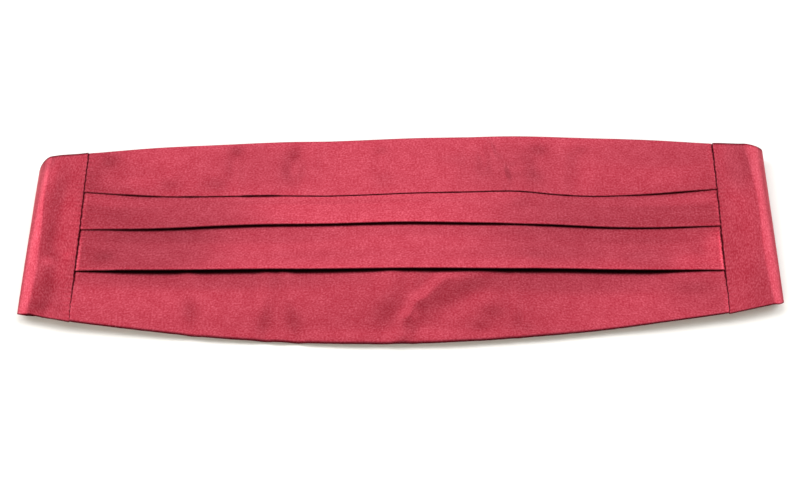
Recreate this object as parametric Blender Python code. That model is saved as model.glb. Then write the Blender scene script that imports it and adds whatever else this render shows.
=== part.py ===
"""A satin cummerbund with three knife pleats, laid front up with its ends folded under.

Its length lies along X, its upper edge towards +Y, and it rests on z = 0. Sizes are in metres.
"""
import math
from collections import namedtuple

import bmesh
import bpy
import numpy as np

# Driving dimensions
FRONT_LENGTH = 0.357         # the pleated front, from seam to seam
WALL = 0.0010                # the front's satin and backing, as one cloth
TAB_WALL = 0.0012
STRAP_WALL = 0.0010
GAP = 0.0003                 # between two pieces, and between the layers of a fold
PLEAT_DEPTH = 0.012          # how far a fold runs back under its band
HEM = 0.008                  # turned under along both long edges
STRAP_WIDTH = 0.030
STRAP_STARTS = 0.128         # distance from the middle to the end of each tab's under layer
CLASP_X = 0.030              # where the hook holds the eye

# The clasp: an eye of wire and a hook of sheet metal
WIRE = 0.0012
EYE_LENGTH = 0.009
EYE_WIDTH = STRAP_WIDTH + 0.004
HOOK_SHEET = 0.0008
HOOK_MIDDLE = 0.010          # the hook's plate, from the wire it holds
HOOK_LENGTH = 0.0105
HOOK_WIDTH = STRAP_WIDTH + 0.006
SLOT_WIDTH = STRAP_WIDTH + 0.0016
HOOK_BAR = 0.0025
CLASP_CORNER = 0.0025
SLOT_CORNER = 0.0008
TONGUE_WIDTH = 0.012
TONGUE_ROOT = 0.0015         # how far the tongue runs into the plate
TONGUE_LIP = 0.002           # and back under the wire
TURN_BACK = 0.019            # the strap's sewn end, past the bar it holds
TURN_BACK_SETTLES = 0.011    # where that end lies down on the strap

# The front's edges and folds, read at ten places along its length
Section = namedtuple("Section", "x back fold_1 fold_2 fold_3 front")
SECTIONS = (
    Section(x=-0.1785, back=0.0474, fold_1=0.0234, fold_2=0.0012, fold_3=-0.0233, front=-0.0538),
    Section(x=-0.1400, back=0.0535, fold_1=0.0227, fold_2=0.0024, fold_3=-0.0230, front=-0.0583),
    Section(x=-0.1000, back=0.0581, fold_1=0.0243, fold_2=0.0052, fold_3=-0.0221, front=-0.0616),
    Section(x=-0.0600, back=0.0618, fold_1=0.0256, fold_2=0.0068, fold_3=-0.0217, front=-0.0635),
    Section(x=-0.0200, back=0.0638, fold_1=0.0259, fold_2=0.0072, fold_3=-0.0218, front=-0.0644),
    Section(x=0.0200, back=0.0657, fold_1=0.0270, fold_2=0.0071, fold_3=-0.0220, front=-0.0636),
    Section(x=0.0600, back=0.0656, fold_1=0.0274, fold_2=0.0063, fold_3=-0.0225, front=-0.0616),
    Section(x=0.1000, back=0.0627, fold_1=0.0244, fold_2=0.0051, fold_3=-0.0220, front=-0.0587),
    Section(x=0.1400, back=0.0590, fold_1=0.0238, fold_2=0.0033, fold_3=-0.0228, front=-0.0546),
    Section(x=0.1785, back=0.0538, fold_1=0.0253, fold_2=0.0034, fold_3=-0.0228, front=-0.0494),
)
FOLD_OPENS = {"fold_1": 0.0008, "fold_2": 0.0018, "fold_3": 0.0022}
FOLD_CLOSES_OVER = 0.040     # from the full opening down to none at each seam
FLAP_EASES_OVER = 0.025      # how far back from its fold a lifted band lies down again

# How the front stands off the surface: its ends are lofted, more so at the back edge
BACK_LOFT = 0.013
FRONT_LOFT = 0.004
BACK_LOFT_STARTS = 0.040     # distance from the middle where the loft begins
FRONT_LOFT_STARTS = 0.060
LOFT_POWER = 1.2
LOFT_FRONT_Y = -0.061
LOFT_BACK_Y = 0.059

# The straps and the clasp lie under the front and lift it; each lift fades over a distance
Fade = namedtuple("Fade", "start end")
STRAP_TURN_INSIDE = WIRE + 2 * GAP
CLASP_HEIGHT = 2 * STRAP_WALL + STRAP_TURN_INSIDE
LIFT_OVER_STRAP = STRAP_WALL + 2 * GAP
LIFT_OVER_CLASP = CLASP_HEIGHT + GAP
BESIDE_STRAP = Fade(0.017, 0.045)
ALONG_STRAP = Fade(0.060, 0.120)
ROUND_CLASP = Fade(0.022, 0.065)

# Each tab: y at its front and back edge along the seam, the roll's top and the roll's underside,
# then how far the roll reaches out in x and how high it stands
Tab = namedtuple("Tab", "name side seam top under reach height")
Edges = namedtuple("Edges", "front back")
TABS = (
    Tab(
        name="left", side=-1,
        seam=Edges(-0.0538, 0.0474), top=Edges(-0.0482, 0.0450), under=Edges(-0.0470, 0.0385),
        reach=Edges(0.2083, 0.2062), height=Edges(0.0060, 0.0140),
    ),
    Tab(
        name="right", side=1,
        seam=Edges(-0.0494, 0.0538), top=Edges(-0.0423, 0.0543), under=Edges(-0.0405, 0.0530),
        reach=Edges(0.2098, 0.2086), height=Edges(0.0060, 0.0125),
    ),
)
TAB_ABOVE_UNDERSIDE = 0.0018 # the tab's middle line over the front's underside at the seam

# How finely the shapes are cut
FRONT_STATIONS = 29
TAB_STATIONS = 13
TURN_POINTS = 5              # round a pleat's or hem's half turn
ROLL_POINTS = 9              # round a tab's, a strap's or the tongue's
BAND_STEPS = 4               # down a band, from its pleat to the next
TAB_TOP_STEPS = 5
TAB_UNDER_STEPS = 7
STRAP_STEPS = 3
CORNER_POINTS = 5
WIRE_SIDES = 8

# Levels of the middle line in a stack of three layers
LOW = WALL / 2
MIDDLE = LOW + WALL + GAP
HIGH = MIDDLE + WALL + GAP
BEND = (WALL + GAP) / 2 + WALL / 2


def clear_scene():
    """Start from an empty scene."""
    for item in list(bpy.data.objects):
        bpy.data.objects.remove(item, do_unlink=True)


def material(name, colour, roughness, metallic=0.0):
    """A plain Principled material."""
    made = bpy.data.materials.new(name)
    made.use_nodes = True
    shader = made.node_tree.nodes["Principled BSDF"]
    shader.inputs["Base Color"].default_value = (*colour, 1.0)
    shader.inputs["Roughness"].default_value = roughness
    shader.inputs["Metallic"].default_value = metallic
    made.diffuse_color = (*colour, 1.0)
    return made


def smoothstep(low, high, value):
    """From 0 at low to 1 at high, level at both."""
    t = np.clip((value - low) / (high - low), 0.0, 1.0)
    return t * t * (3.0 - 2.0 * t)


def along_front(column, x):
    """A column of the table at x: a cubic whose slope at each row comes from its neighbours."""
    places = np.array([row.x for row in SECTIONS])
    values = np.array([getattr(row, column) for row in SECTIONS])
    slopes = np.gradient(values, places)
    row = int(np.clip(np.searchsorted(places, x) - 1, 0, len(places) - 2))
    step = places[row + 1] - places[row]
    t = (x - places[row]) / step
    start = values[row] * (1 + 2 * t) * (1 - t) ** 2 + slopes[row] * step * t * (1 - t) ** 2
    end = values[row + 1] * (3 - 2 * t) * t ** 2 - slopes[row + 1] * step * (1 - t) * t ** 2
    return start + end


def rise(x, y):
    """Height of the front's underside: the lofted ends, and the lift over strap and clasp."""
    half = FRONT_LENGTH / 2
    from_middle = np.abs(x)
    front_share = np.clip(from_middle - FRONT_LOFT_STARTS, 0, None) / (half - FRONT_LOFT_STARTS)
    back_share = np.clip(from_middle - BACK_LOFT_STARTS, 0, None) / (half - BACK_LOFT_STARTS)
    towards_back = np.clip((y - LOFT_FRONT_Y) / (LOFT_BACK_Y - LOFT_FRONT_Y), 0, 1)
    front_loft = FRONT_LOFT * front_share ** LOFT_POWER
    back_loft = BACK_LOFT * back_share ** LOFT_POWER
    loft = front_loft * (1 - towards_back) + back_loft * towards_back
    over_strap = LIFT_OVER_STRAP * (1 - smoothstep(*ALONG_STRAP, from_middle))
    over_clasp = (LIFT_OVER_CLASP - LIFT_OVER_STRAP) * (1 - smoothstep(*ROUND_CLASP, np.abs(x - CLASP_X)))
    return loft + (over_strap + over_clasp) * (1 - smoothstep(*BESIDE_STRAP, np.abs(y)))


def half_turn(y, start, end, side):
    """Half a circle between two levels, bulging towards -y or +y from y."""
    radius = (end - start) / 2
    angles = np.linspace(-math.pi / 2, math.pi / 2, TURN_POINTS)
    return [(y + side * abs(radius) * math.cos(a), (start + end) / 2 + radius * math.sin(a)) for a in angles]


def ease(start, end, steps):
    """Points after start, up to and with end, whose height eases from one to the other."""
    shares = np.linspace(0, 1, steps + 1)[1:]
    return [
        (start[0] + (end[0] - start[0]) * share, start[1] + (end[1] - start[1]) * smoothstep(0, 1, share))
        for share in shares
    ]


def pleat(fold, lift):
    """A fold edge, the layer that runs back under its band, and the turn to the next band."""
    inner = fold + PLEAT_DEPTH - BEND
    middle = (fold + inner) / 2
    line = half_turn(fold + BEND, HIGH + lift, MIDDLE + lift, -1)
    line.append((middle, MIDDLE + lift * (fold + PLEAT_DEPTH - middle) / PLEAT_DEPTH))
    line += half_turn(inner, MIDDLE, LOW, 1)
    return line


def flap(fold, lift):
    """The last stretch of a band over its pleat, lifted most at the fold."""
    over_pleat = fold + PLEAT_DEPTH + BEND
    middle = fold + PLEAT_DEPTH / 2
    return [
        (place, HIGH + lift * (1 - smoothstep(0, FLAP_EASES_OVER, place - fold)))
        for place in (over_pleat, middle)
    ]


def front_section(x):
    """The middle line of the folded cloth at x, in y and z, from back hem to front hem."""
    back = along_front("back", x)
    front = along_front("front", x)
    from_seam = FRONT_LENGTH / 2 - abs(x)
    opens = smoothstep(0, FOLD_CLOSES_OVER, from_seam)
    line = [(back - HEM, LOW)]
    line += half_turn(back - BEND, LOW, MIDDLE, 1)
    start = (back - HEM, MIDDLE)
    for name, opening in FOLD_OPENS.items():
        fold = along_front(name, x)
        over_pleat, middle = flap(fold, opening * opens)
        line.append(start)
        line += ease(start, over_pleat, BAND_STEPS)
        line.append(middle)
        line += pleat(fold, opening * opens)
        start = (fold, LOW)
    line.append(start)
    hem_start = (front + HEM + BEND, MIDDLE)
    line += ease(start, hem_start, BAND_STEPS)
    line += half_turn(front + BEND, MIDDLE, LOW, -1)
    line.append((front + HEM, LOW))
    return np.array(line)


def offset(line, distance):
    """The line moved to its left by the distance, with mitred corners."""
    steps = np.diff(line, axis=0)
    normals = np.stack([-steps[:, 1], steps[:, 0]], axis=1)
    normals /= np.linalg.norm(normals, axis=1, keepdims=True)
    before = np.vstack([normals[:1], normals])
    after = np.vstack([normals, normals[-1:]])
    corners = before + after
    corners /= np.linalg.norm(corners, axis=1, keepdims=True)
    reach = distance / np.sum(corners * before, axis=1, keepdims=True)
    return line + corners * reach


def solid(name, points, faces, look):
    """A closed body from its points and faces, with its faces turned outwards."""
    mesh = bpy.data.meshes.new(name)
    mesh.from_pydata([tuple(point) for point in points], [], faces)
    body = bmesh.new()
    body.from_mesh(mesh)
    bmesh.ops.recalc_face_normals(body, faces=body.faces)
    body.to_mesh(mesh)
    body.free()
    mesh.materials.append(look)
    mesh.shade_smooth()
    mesh.set_sharp_from_angle(angle=math.radians(40))
    item = bpy.data.objects.new(name, mesh)
    bpy.context.collection.objects.link(item)
    return item


def cloth(name, face, back, look):
    """A closed wall between two grids of points: the cloth's face and its back."""
    rows, columns = face.shape[:2]
    count = rows * columns
    number = np.arange(count).reshape(rows, columns)
    quads = np.stack([number[:-1, :-1], number[:-1, 1:], number[1:, 1:], number[1:, :-1]], axis=-1)
    quads = quads.reshape(-1, 4)
    rim = np.concatenate([number[0, :-1], number[:-1, -1], number[-1, :0:-1], number[:0:-1, 0]])
    following = np.roll(rim, -1)
    sides = np.stack([rim, rim + count, following + count, following], axis=1)
    faces = np.concatenate([quads, quads[:, ::-1] + count, sides])
    points = np.concatenate([face.reshape(-1, 3), back.reshape(-1, 3)])
    return solid(name, points, faces.tolist(), look)


def make_front(look):
    """The pleated front, swept from seam to seam through its sections."""
    face, back = [], []
    for x in np.linspace(-FRONT_LENGTH / 2, FRONT_LENGTH / 2, FRONT_STATIONS):
        line = front_section(x)
        for grid, distance in ((face, -WALL / 2), (back, WALL / 2)):
            moved = offset(line, distance)
            lifted = moved[:, 1] + rise(x, moved[:, 0])
            grid.append(np.stack([np.full(len(moved), x), moved[:, 0], lifted], axis=1))
    return cloth("pleated_front", np.array(face), np.array(back), look)


def between(edges, share):
    """The value at a share of the way from the front edge to the back edge."""
    return edges.front + (edges.back - edges.front) * share


def make_tab(tab, look):
    """A tab: out from the seam, round its rolled fold and back underneath to the strap."""
    seam_x = FRONT_LENGTH / 2 + GAP
    low = TAB_WALL / 2
    face, back = [], []
    for share in np.linspace(0, 1, TAB_STATIONS):
        seam_y, top_y, under_y = (between(edges, share) for edges in (tab.seam, tab.top, tab.under))
        seam_z = rise(seam_x, seam_y) + TAB_ABOVE_UNDERSIDE
        radius = (between(tab.height, share) - TAB_WALL) / 2
        roll_x = between(tab.reach, share) - TAB_WALL / 2 - radius
        line = [(seam_x, seam_z)] + ease((seam_x, seam_z), (roll_x, low + 2 * radius), TAB_TOP_STEPS)
        across = list(np.linspace(seam_y, top_y, len(line)))
        for step in np.linspace(0, 1, ROLL_POINTS)[1:]:
            angle = math.pi * step
            line.append((roll_x + radius * math.sin(angle), low + radius * (1 + math.cos(angle))))
            across.append(top_y + (under_y - top_y) * step)
        strap_y = STRAP_WIDTH * (share - 0.5)
        for step in np.linspace(0, 1, TAB_UNDER_STEPS + 1)[1:]:
            line.append((roll_x + (STRAP_STARTS - roll_x) * step, low))
            across.append(under_y + (strap_y - under_y) * smoothstep(0, 1, step))
        line = np.array(line)
        for grid, distance in ((face, TAB_WALL / 2), (back, -TAB_WALL / 2)):
            moved = offset(line, distance)
            grid.append(np.stack([tab.side * moved[:, 0], across, moved[:, 1]], axis=1))
    return cloth("tab_" + tab.name, np.array(face), np.array(back), look)


def strip(name, line, width, wall, look):
    """A straight strip of cloth or sheet metal: its middle line in x and z, swept across y."""
    face, back = [], []
    for y in (-width / 2, 0.0, width / 2):
        for grid, distance in ((face, wall / 2), (back, -wall / 2)):
            moved = offset(np.array(line), distance)
            grid.append(np.stack([moved[:, 0], np.full(len(moved), y), moved[:, 1]], axis=1))
    return cloth(name, np.array(face), np.array(back), look)


def make_strap(name, start_x, turn_x, look):
    """A strap along the floor, turned back over the bar at turn_x."""
    towards = math.copysign(1, turn_x - start_x)
    radius = (STRAP_TURN_INSIDE + STRAP_WALL) / 2
    low = STRAP_WALL / 2
    line = [(start_x, low)] + ease((start_x, low), (turn_x, low), STRAP_STEPS)
    for angle in np.linspace(0, math.pi, ROLL_POINTS)[1:]:
        line.append((turn_x + towards * radius * math.sin(angle), low + radius * (1 - math.cos(angle))))
    settled = (turn_x - towards * TURN_BACK_SETTLES, low + STRAP_WALL + GAP)
    line += ease(line[-1], settled, STRAP_STEPS)
    line.append((turn_x - towards * TURN_BACK, settled[1]))
    return strip(name, line, STRAP_WIDTH, STRAP_WALL, look)


def rounded_rectangle(middle_x, length, width, corner):
    """Points round a rectangle with arcs at its corners, in x and y."""
    points = []
    for quarter in range(4):
        turn = quarter * math.pi / 2
        side_x = math.copysign(1, math.cos(turn + math.pi / 4))
        side_y = math.copysign(1, math.sin(turn + math.pi / 4))
        for angle in np.linspace(turn, turn + math.pi / 2, CORNER_POINTS):
            x = middle_x + side_x * (length / 2 - corner) + corner * math.cos(angle)
            y = side_y * (width / 2 - corner) + corner * math.sin(angle)
            points.append((x, y))
    return np.array(points)


def ring_faces(rings, per_ring):
    """Quads that join each closed ring of points to the next, and the last to the first."""
    faces = []
    for ring in range(rings):
        for place in range(per_ring):
            here, there = ring * per_ring, (ring + 1) % rings * per_ring
            beside = (place + 1) % per_ring
            faces.append((here + place, here + beside, there + beside, there + place))
    return faces


def make_eye(look):
    """A rectangular loop of round wire, between the left strap and the hook."""
    path = rounded_rectangle(CLASP_X - EYE_LENGTH / 2, EYE_LENGTH, EYE_WIDTH, CLASP_CORNER)
    tangents = np.roll(path, -1, axis=0) - np.roll(path, 1, axis=0)
    outward = np.stack([tangents[:, 1], -tangents[:, 0]], axis=1)
    outward /= np.linalg.norm(outward, axis=1, keepdims=True)
    points = []
    for place, side in zip(path, outward):
        for angle in np.linspace(0, 2 * math.pi, WIRE_SIDES + 1)[:-1]:
            x, y = place + side * WIRE / 2 * math.cos(angle)
            points.append((x, y, CLASP_HEIGHT / 2 + WIRE / 2 * math.sin(angle)))
    return solid("eye", points, ring_faces(len(path), WIRE_SIDES), look)


def make_hook(look):
    """A slotted plate for the right strap, with a tongue curled round the eye's wire."""
    level = CLASP_HEIGHT / 2
    plate_x = CLASP_X + HOOK_MIDDLE
    outer = rounded_rectangle(plate_x, HOOK_LENGTH, HOOK_WIDTH, CLASP_CORNER)
    inner = rounded_rectangle(plate_x, HOOK_LENGTH - 2 * HOOK_BAR, SLOT_WIDTH, SLOT_CORNER)
    points = []
    for outline, side in ((outer, -1), (outer, 1), (inner, 1), (inner, -1)):
        points += [(x, y, level + side * HOOK_SHEET / 2) for x, y in outline]
    plate = solid("hook", points, ring_faces(4, len(outer)), look)
    curl = WIRE / 2 + GAP + HOOK_SHEET / 2
    edge_x = plate_x - HOOK_LENGTH / 2
    line = [(edge_x + TONGUE_ROOT, level), (edge_x - GAP, level)]
    line += ease(line[-1], (CLASP_X, level + curl), BAND_STEPS)
    for angle in np.linspace(0, math.pi, ROLL_POINTS)[1:]:
        line.append((CLASP_X - curl * math.sin(angle), level + curl * math.cos(angle)))
    line.append((CLASP_X + TONGUE_LIP, level - curl))
    tongue = strip("hook_tongue", line, TONGUE_WIDTH, HOOK_SHEET, look)
    tongue.hide_render = True
    tongue.display_type = "WIRE"
    join = plate.modifiers.new("tongue", "BOOLEAN")
    join.operation = "UNION"
    join.object = tongue
    return plate


def main():
    """Make the whole garment."""
    clear_scene()
    satin = material("rose satin", (0.52, 0.055, 0.085), 0.38)
    webbing = material("rose elastic webbing", (0.30, 0.035, 0.055), 0.75)
    nickel = material("nickel", (0.62, 0.61, 0.58), 0.28, metallic=1.0)
    make_front(satin)
    for tab in TABS:
        make_tab(tab, satin)
    make_strap("strap_left", -STRAP_STARTS + GAP, CLASP_X - EYE_LENGTH, webbing)
    bar_edge = CLASP_X + HOOK_MIDDLE + HOOK_LENGTH / 2 - HOOK_BAR
    clear_of_edge = math.sqrt((STRAP_TURN_INSIDE / 2 - GAP) ** 2 - (HOOK_SHEET / 2) ** 2)
    make_strap("strap_right", STRAP_STARTS - GAP, bar_edge + clear_of_edge, webbing)
    make_eye(nickel)
    make_hook(nickel)


main()
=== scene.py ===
"""The look of a satin cummerbund, laid front up with its ends rolled under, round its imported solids.

Lengths are in metres. The garment lies along X, its upper edge towards +Y, on the floor at z = 0.
"""
import math
from collections import namedtuple

import bpy
import numpy as np
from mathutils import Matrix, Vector


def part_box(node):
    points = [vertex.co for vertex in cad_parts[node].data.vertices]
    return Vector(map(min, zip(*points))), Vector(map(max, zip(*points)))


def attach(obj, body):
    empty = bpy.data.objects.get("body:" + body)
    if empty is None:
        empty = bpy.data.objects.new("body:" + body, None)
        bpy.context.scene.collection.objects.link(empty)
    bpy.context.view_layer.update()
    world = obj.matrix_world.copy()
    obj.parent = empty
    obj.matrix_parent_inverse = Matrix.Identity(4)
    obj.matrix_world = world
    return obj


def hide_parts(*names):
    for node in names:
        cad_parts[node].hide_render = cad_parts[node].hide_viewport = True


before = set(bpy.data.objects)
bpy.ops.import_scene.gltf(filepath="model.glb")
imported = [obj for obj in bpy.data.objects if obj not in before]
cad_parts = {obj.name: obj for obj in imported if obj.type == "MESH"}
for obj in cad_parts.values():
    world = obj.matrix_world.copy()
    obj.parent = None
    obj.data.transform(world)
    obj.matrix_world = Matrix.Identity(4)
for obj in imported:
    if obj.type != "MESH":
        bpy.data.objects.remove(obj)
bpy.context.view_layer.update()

SEAM_X = float(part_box("pleated_front")[1][0])
BODY = "root"

# The cloth. It is thinner than the solids' wall, so its edges and folds lie a little further
# back to show in the same place.
SATIN = 0.00025
TAB_SATIN = 0.0005
FLOOR_GAP = 0.0001           # under the lowest layer
LAYER = 0.00030              # from one layer of a fold to the next
PLEAT_DEPTH = 0.012
HEM = 0.008
SHIFTS = {"back": 0.0006, "front": 0.0}
FOLD_SHIFT = 0.0002
LOW = SATIN / 2 + FLOOR_GAP
MIDDLE = LOW + LAYER
HIGH = MIDDLE + LAYER
HEM_EDGE = 0.0006            # between the layers of the front edge's hem
BEND = (LAYER + SATIN) / 2
TO_BACK, TO_FRONT = 1, -1    # the two sides that a turn can bulge to

Section = namedtuple("Section", "x back fold_1 fold_2 fold_3 front")
SECTIONS = (
    Section(x=-0.1785, back=0.0474, fold_1=0.0234, fold_2=0.0012, fold_3=-0.0233, front=-0.0538),
    Section(x=-0.1400, back=0.0535, fold_1=0.0227, fold_2=0.0024, fold_3=-0.0230, front=-0.0583),
    Section(x=-0.1000, back=0.0581, fold_1=0.0243, fold_2=0.0052, fold_3=-0.0221, front=-0.0622),
    Section(x=-0.0600, back=0.0618, fold_1=0.0256, fold_2=0.0068, fold_3=-0.0217, front=-0.0645),
    Section(x=-0.0200, back=0.0634, fold_1=0.0259, fold_2=0.0072, fold_3=-0.0218, front=-0.0657),
    Section(x=0.0200, back=0.0648, fold_1=0.0270, fold_2=0.0071, fold_3=-0.0220, front=-0.0652),
    Section(x=0.0600, back=0.0650, fold_1=0.0274, fold_2=0.0063, fold_3=-0.0225, front=-0.0628),
    Section(x=0.1000, back=0.0627, fold_1=0.0244, fold_2=0.0051, fold_3=-0.0220, front=-0.0591),
    Section(x=0.1400, back=0.0590, fold_1=0.0238, fold_2=0.0033, fold_3=-0.0228, front=-0.0543),
    Section(x=0.1785, back=0.0538, fold_1=0.0253, fold_2=0.0034, fold_3=-0.0228, front=-0.0488),
)

# How far each fold's flap stands off the pleat under it, and the front hem off the floor
Opening = namedtuple("Opening", "x fold_1 fold_2 fold_3 hem")
OPENINGS = (
    Opening(x=-0.180, fold_1=0.0000, fold_2=0.0000, fold_3=0.0001, hem=0.0007),
    Opening(x=-0.155, fold_1=0.0002, fold_2=0.0007, fold_3=0.0017, hem=0.0007),
    Opening(x=-0.130, fold_1=0.0001, fold_2=0.0011, fold_3=0.0022, hem=0.0007),
    Opening(x=-0.100, fold_1=0.0007, fold_2=0.0013, fold_3=0.0022, hem=0.0006),
    Opening(x=-0.070, fold_1=0.0006, fold_2=0.0013, fold_3=0.0022, hem=0.0003),
    Opening(x=-0.040, fold_1=0.0000, fold_2=0.0013, fold_3=0.0021, hem=0.0003),
    Opening(x=0.000, fold_1=0.0000, fold_2=0.0014, fold_3=0.0016, hem=0.0004),
    Opening(x=0.045, fold_1=0.0001, fold_2=0.0012, fold_3=0.0021, hem=0.0006),
    Opening(x=0.065, fold_1=0.0005, fold_2=0.0010, fold_3=0.0022, hem=0.0006),
    Opening(x=0.085, fold_1=0.0002, fold_2=0.0010, fold_3=0.0021, hem=0.0007),
    Opening(x=0.110, fold_1=0.0000, fold_2=0.0008, fold_3=0.0022, hem=0.0009),
    Opening(x=0.135, fold_1=0.0003, fold_2=0.0007, fold_3=0.0021, hem=0.0013),
    Opening(x=0.155, fold_1=0.0006, fold_2=0.0005, fold_3=0.0014, hem=0.0016),
    Opening(x=0.180, fold_1=0.0000, fold_2=0.0000, fold_3=0.0001, hem=0.0007),
)
FLAP_EASES_OVER = 0.018
FREE_AT_SEAM = 0.5           # share of a fold's shade that is left at the seams
FREE_FROM_SEAM = 0.016
CORNER_PULL = 0.0002         # how far the seams draw in the hem's front corners
CORNER_REACH = 0.003
STEP_EASES_OVER = 0.003      # where one band's creases differ from the next band's

# How the front stands off the floor
BACK_LOFT = 0.013
FRONT_LOFT = 0.004
BACK_LOFT_STARTS = 0.040
FRONT_LOFT_STARTS = 0.060
LOFT_POWER = 1.2
LOFT_FRONT_Y = -0.040
LOFT_BACK_Y = 0.059
LIFT_OVER_STRAP = 0.0016
LIFT_OVER_CLASP = 0.0041
CLASP_X = 0.030
Fade = namedtuple("Fade", "start end")
BESIDE_STRAP = Fade(0.014, 0.075)
DROPS_BY = 0.6               # share of the lift that is lost beside the strap
ALONG_STRAP = Fade(0.060, 0.120)
ROUND_CLASP = Fade(0.020, 0.090)

# The seams: both pieces curve down into them, and every stitch pulls the edge down a little more
Seam = namedtuple("Seam", "y left right left_lip right_lip")
SEAMS = (
    Seam(y=-0.054, left=-0.0006, right=0.0000, left_lip=0.0003, right_lip=0.0013),
    Seam(y=-0.042, left=-0.0010, right=0.0008, left_lip=0.0004, right_lip=0.0013),
    Seam(y=-0.030, left=-0.0009, right=0.0008, left_lip=0.0004, right_lip=0.0004),
    Seam(y=-0.015, left=-0.0006, right=0.0008, left_lip=0.0028, right_lip=0.0032),
    Seam(y=-0.003, left=-0.0002, right=0.0006, left_lip=0.0020, right_lip=0.0028),
    Seam(y=0.004, left=0.0001, right=0.0005, left_lip=0.0008, right_lip=0.0004),
    Seam(y=0.013, left=0.0003, right=0.0004, left_lip=0.0015, right_lip=0.0016),
    Seam(y=0.026, left=0.0007, right=0.0001, left_lip=0.0004, right_lip=0.0004),
    Seam(y=0.038, left=0.0011, right=-0.0001, left_lip=0.0003, right_lip=0.0015),
    Seam(y=0.050, left=0.0014, right=-0.0002, left_lip=0.0003, right_lip=0.0013),
)
WIDEST_LIP = 0.0032
BOW_FADES_OVER = 0.060
TAB_LIP = 0.0003
LIP_DEPTH = 0.32             # for each metre of its reach
RIDGE_FROM_SEAM = 0.0019
RIDGE_WIDTH = 0.0008
RIDGE_HEIGHT = 0.00012
DARK_LIP = 0.00005
DARK_STITCH = 0.0003
PAINTED_LIP_HIGHLIGHT = 0.35             # painted highlight: how much lighter the colour is made along the lip where it is widest
LIGHT_FROM_SEAM = 0.0014
LIGHT_REACH = 0.0010
STITCH = 0.0027
LIP_BETWEEN_STITCHES = 0.7   # share of the lip's depth that is left there
DARK_BETWEEN_STITCHES = 0.3  # share of the dark line's width
PUCKER_HEIGHT = 0.00012
PUCKER_REACH = 0.0030

# Ripples along a seam: their turns are in radians a metre
Ripple = namedtuple("Ripple", "size turns start", defaults=(0.0,))
STITCH_DRIFTS = (Ripple(0.9, 210, 0.6), Ripple(0.6, 95, 2.0))
SEAM_WOBBLE = 0.00018
FINE_WOBBLE = Ripple(0.6, 1150)
FINE_WOBBLE_DRIFT = Ripple(3.0, 170)
BROAD_WOBBLE = Ripple(0.4, 620)
BROAD_WOBBLE_SLANT = 30.0
WOBBLE_FADES_OVER = 0.004

# Creases, as soft ridges (height over 0) and troughs along a line from one point to another
Crease = namedtuple("Crease", "place x0 y0 x1 y1 width height")
CREASES = (
    Crease(4, 0.0250, -0.0270, 0.0120, -0.0400, 0.0034, 0.00055),
    Crease(4, 0.0120, -0.0400, 0.0040, -0.0500, 0.0030, 0.00045),
    Crease(4, 0.0040, -0.0500, 0.0030, -0.0620, 0.0022, 0.00040),
)

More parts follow.
